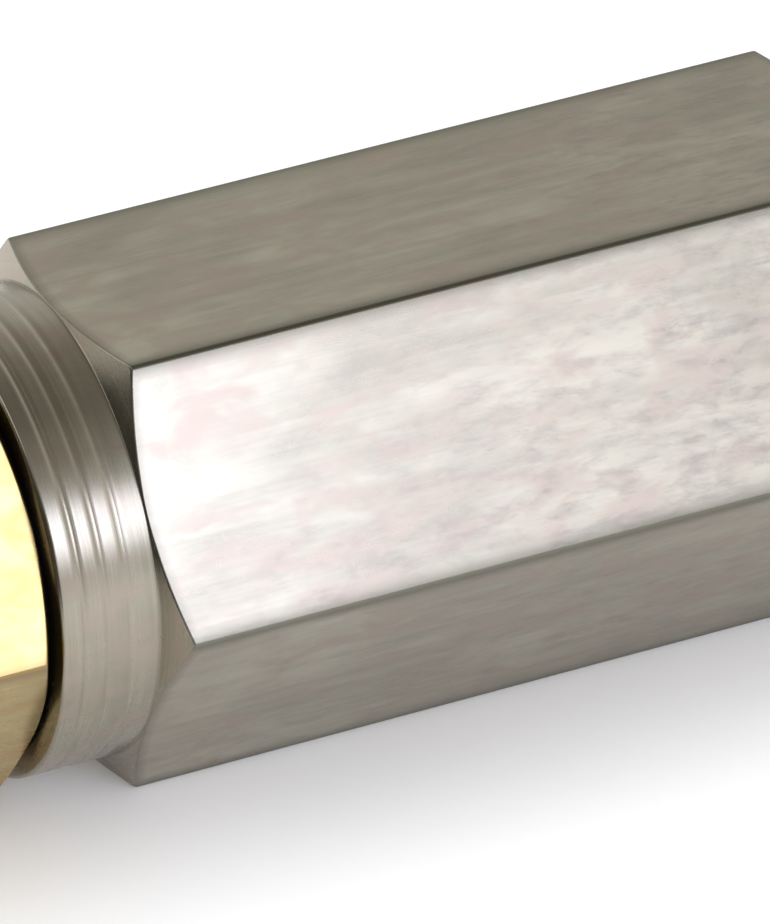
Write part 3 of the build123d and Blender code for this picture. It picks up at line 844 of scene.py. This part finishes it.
keptNodes = {
    "ferrule": lathe["turned brass"], "gas_rod": lathe["turned steel"], "inlet_filter": bronze,
    "filter_clip": lathe["spring steel"], "guide_clip": lathe["spring steel"],
    "poppet": plastic, "spring_guide": plastic, "poppet_seal": rubber,
}
for node, material in keptNodes.items():
    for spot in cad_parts[node].material_slots:
        spot.material = material
print("finished", len(keptNodes), "CAD nodes")


# floor, light and camera

floorLook = {"reach": 6.0, "colour": (0.88, 0.88, 0.875, 1), "grain": (0.91, 0.91, 0.91, 1), "glow": 0.14,
             "glowColour": (1, 0.98, 0.93, 1)}


def makeFloor(values):
    mesh = bpy.data.meshes.new("floor")
    reach = values["reach"]
    corners = [(-reach, -reach, 0), (reach, -reach, 0), (reach, reach, 0), (-reach, reach, 0)]
    mesh.from_pydata(corners, [], [(0, 1, 2, 3)])
    floor = inScene("floor", mesh)
    material, shader, point = startMaterial("pale paper", Roughness=0.9)
    grain = point.stretched(1.2, 1.2, 1.2).noise(3.0, 0.6)
    colour = grain.colours(values["colour"], values["grain"])
    feed(shader, colour)
    shader.inputs["Emission Color"].default_value = values["glowColour"]
    shader.inputs["Emission Strength"].default_value = values["glow"]
    mesh.materials.append(material)


makeFloor(floorLook)

# directions are (right, back, up) from the middle of the body
lightLook = {
    "key": {"direction": (0.30, -0.866, 0.402), "distance": 330, "size": (105, 130), "radiance": 0.75,
            "colour": (0.86, 0.885, 1.07)},
    "wide": {"direction": (0.383, -0.832, 0.402), "distance": 600, "size": (420, 236), "radiance": 1.22,
             "colour": (0.86, 0.885, 1.07)},
    "side": {"direction": (0.050, -0.885, 0.462), "distance": 105, "size": (36, 38), "radiance": 2.9,
             "colour": (0.9, 0.95, 1.3)},
    "fill": {"direction": (-0.8, 0.2, 0.75), "distance": 600, "size": (500, 500), "radiance": 0.9,
             "colour": (1.0, 1.0, 1.0)},
}


def makeLights(values):
    # rectangular lights. A lamp's power is its radiance times its area times pi
    for name, look in values.items():
        spot = Vector(look["direction"]).normalized() * look["distance"] + Vector((0, 0, axisHeight))
        light = bpy.data.lights.new(name, "AREA")
        light.shape = "RECTANGLE"
        light.size, light.size_y = look["size"][0] * mm, look["size"][1] * mm
        light.energy = look["radiance"] * light.size * light.size_y * pi
        light.color = look["colour"]
        lamp = inScene(name, light)
        lamp.location = spot * mm
        lamp.rotation_euler = (Vector((0, 0, axisHeight)) - spot).to_track_quat("-Z", "Y").to_euler()


makeLights(lightLook)

cardLook = {"x": -45.0, "y": (-70.0, 12.0), "z": (0.0, 45.0), "colour": (0.03, 0.028, 0.025, 1)}


def makeCard(values):
    # a dark card beside the object, seen only in reflections
    mesh = bpy.data.meshes.new("card")
    (front, back), (low, high) = values["y"], values["z"]
    outline = ((front, low), (back, low), (back, high), (front, high))
    spots = np.array([(values["x"], y, z) for y, z in outline]) * mm
    mesh.from_pydata(spots.tolist(), [], [(0, 1, 2, 3)])
    card = inScene("card", mesh)
    card.visible_camera = card.visible_diffuse = card.visible_shadow = False
    material, shader, _ = startMaterial("dark card", Roughness=0.9)
    shader.inputs["Base Color"].default_value = values["colour"]
    mesh.materials.append(material)


makeCard(cardLook)

tentLook = {"low": (0.85, 0.85, 0.84, 1), "middle": (0.80, 0.79, 0.75, 1), "high": (0.42, 0.40, 0.36, 1),
            "top": (0.22, 0.20, 0.17, 1), "front": (0.45, 0.45, 0.45, 1), "back": (1.82, 1.82, 1.82, 1)}


def makeWorld(values):
    # a light tent, brighter near the horizon and dim overhead. Matt surfaces are lit mostly from the back
    world = bpy.data.worlds.new("tent")
    bpy.context.scene.world = world
    world.use_nodes = True
    start = Wire(world.node_tree)
    direction = start.node("ShaderNodeTexCoord", out=0)
    up = direction.node("ShaderNodeSeparateXYZ", {}, {0: direction}, out=2)
    stops = [(0.0, values["low"]), (0.5, values["middle"]), (0.75, values["high"]), (1.0, values["top"])]
    tent = up.node("ShaderNodeValToRGB", {"stops": stops}, {0: up})
    isCamera, isDiffuse = start.node("ShaderNodeLightPath", out=0), start.node("ShaderNodeLightPath", out=2)
    toBack = direction.dot((0.2, 0.45, 0))
    matt = (toBack + 0.5).colours(values["front"], values["back"])
    colour = tent.mixed(matt, isDiffuse).mixed((1, 1, 1, 1), isCamera)
    world.node_tree.links.new(colour.socket, world.node_tree.nodes["Background"].inputs["Color"])


makeWorld(tentLook)

cameraLook = {"azimuth": -26.61, "elevation": 31.33, "distance": 428.7, "aim": (-2.066, 0, 6.103),
              "lens": 568.7}


def makeCamera(values):
    turn, lift = radians(values["azimuth"]), radians(values["elevation"])
    back = Vector((sin(turn) * cos(lift), -cos(turn) * cos(lift), sin(lift)))
    data = bpy.data.cameras.new("camera")
    data.sensor_width = 36
    data.lens = values["lens"]
    data.clip_start, data.clip_end = 0.01, 20
    camera = inScene("camera", data)
    camera.location = (Vector(values["aim"]) + back * values["distance"]) * mm
    camera.rotation_mode = "QUATERNION"
    camera.rotation_quaternion = (-back).to_track_quat("-Z", "Y")
    bpy.context.scene.camera = camera


makeCamera(cameraLook)
bpy.context.scene.view_settings.view_transform = "Standard"
print("stage ready")
